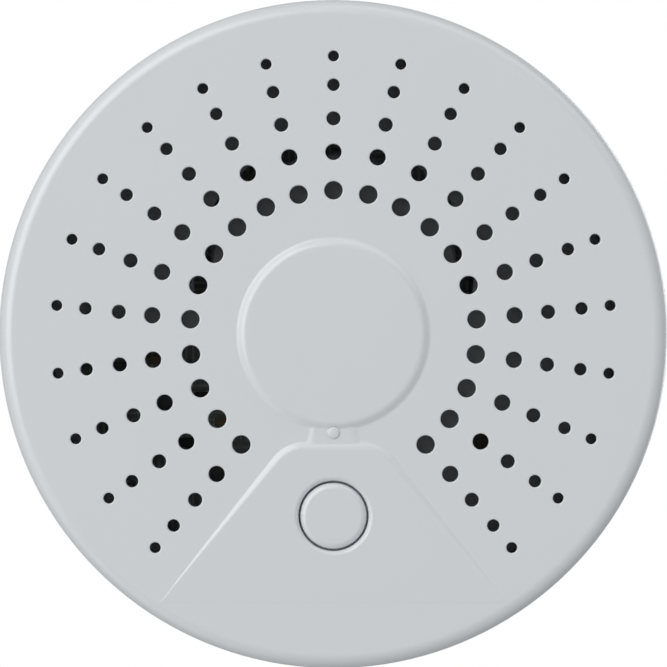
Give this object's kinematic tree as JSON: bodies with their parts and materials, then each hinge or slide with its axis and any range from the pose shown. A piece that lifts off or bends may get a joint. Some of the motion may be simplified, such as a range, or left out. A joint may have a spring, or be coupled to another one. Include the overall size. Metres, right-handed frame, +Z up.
{
  "type": "smoke detector",
  "caption": "Round wall or ceiling smoke detector with a vented front cover, a test button, a battery door and a twist-off mounting bracket.",
  "frame": {"origin": "centre of the mounting bracket's back face, where it meets the wall", "axes": "+Z up, +Y into the wall, vented front face towards -Y, +X to the right of a person who faces the detector"},
  "size_m": [0.107, 0.035, 0.107],
  "materials": {
    "cover_plastic": "fine matte texture",
    "button_plastic": "fine matte texture",
    "rear_plastic": "matte",
    "door_plastic": "matte",
    "bracket_plastic": "matte",
    "light_pipe_plastic": "frosted clear",
    "switch_plastic": "matte",
    "plunger_plastic": "matte",
    "led_package": "matte",
    "cell_jacket": "printed shrink film",
    "contact_nickel": "nickel plated",
    "pin_steel": "plain",
    "screw_steel": "zinc plated",
    "board_laminate": "solder mask",
    "module_laminate": "solder mask",
    "can_steel": "tinned",
    "chip_resin": "moulded resin",
    "resistor_film": "glazed",
    "capacitor_ceramic": "ceramic",
    "inductor_ferrite": "ferrite",
    "crystal_lid": "plated lid",
    "capacitor_foil": "plain",
    "black_plastic": "matte",
    "screen_steel": "blackened",
    "emitter_resin": "clear tinted",
    "photodiode_resin": "dark tinted",
    "piezo_brass": "plain"
  },
  "bodies": {
    "bracket": {"mounting_bracket": "bracket_plastic"},
    "detector": {"front_cover": "cover_plastic", "rear_housing": "rear_plastic", "light_pipe": "light_pipe_plastic", "switch_body": "switch_plastic", "status_led": "led_package", "battery_1": "cell_jacket", "battery_2": "cell_jacket", "plate_contact_1": "contact_nickel", "plate_contact_2": "contact_nickel", "spring_contact_1": "contact_nickel", "spring_contact_2": "contact_nickel", "hinge_pin": "pin_steel", "housing_screw_1": "screw_steel", "housing_screw_2": "screw_steel", "housing_screw_3": "screw_steel", "board_screw_1": "screw_steel", "board_screw_2": "screw_steel", "board_screw_3": "screw_steel", "main_board": "board_laminate", "wireless_module": "module_laminate", "shield_can": "can_steel", "microcontroller": "chip_resin", "resistor_1": "resistor_film", "resistor_2": "resistor_film", "resistor_3": "resistor_film", "resistor_4": "resistor_film", "capacitor_1": "capacitor_ceramic", "capacitor_2": "capacitor_ceramic", "capacitor_3": "capacitor_ceramic", "capacitor_can": "capacitor_foil", "inductor": "inductor_ferrite", "crystal": "crystal_lid", "light_baffle": "black_plastic", "chamber_base": "black_plastic", "chamber_lid": "black_plastic", "insect_screen": "screen_steel", "infrared_emitter": "emitter_resin", "photodiode": "photodiode_resin", "siren_housing": "black_plastic", "piezo_disc": "piezo_brass"},
    "button": {"test_button": "button_plastic"},
    "plunger": {"switch_plunger": "plunger_plastic"},
    "door": {"battery_door": "door_plastic"}
  },
  "joints": [
    {"name": "bayonet_twist", "type": "hinge", "parent": "bracket", "child": "detector", "pos_m": [0, 0, 0], "axis": [0, -1, 0], "range_deg": [0, 18]},
    {"name": "button_press", "type": "slide", "parent": "detector", "child": "button", "axis": [0, 1, 0], "range_m": [0, 0.0005], "stiffness_N_per_m": 200},
    {"name": "switch_travel", "type": "slide", "parent": "detector", "child": "plunger", "axis": [0, 1, 0], "range_m": [0, 0.0005]},
    {"name": "battery_door_hinge", "type": "hinge", "parent": "detector", "child": "door", "pos_m": [-0.0153, -0.0048, 0], "axis": [0, 0, 1], "range_deg": [0, 95]}
  ],
  "couplings": [
    {"joint": "switch_travel", "follows": "button_press", "ratio": 1}
  ]
}
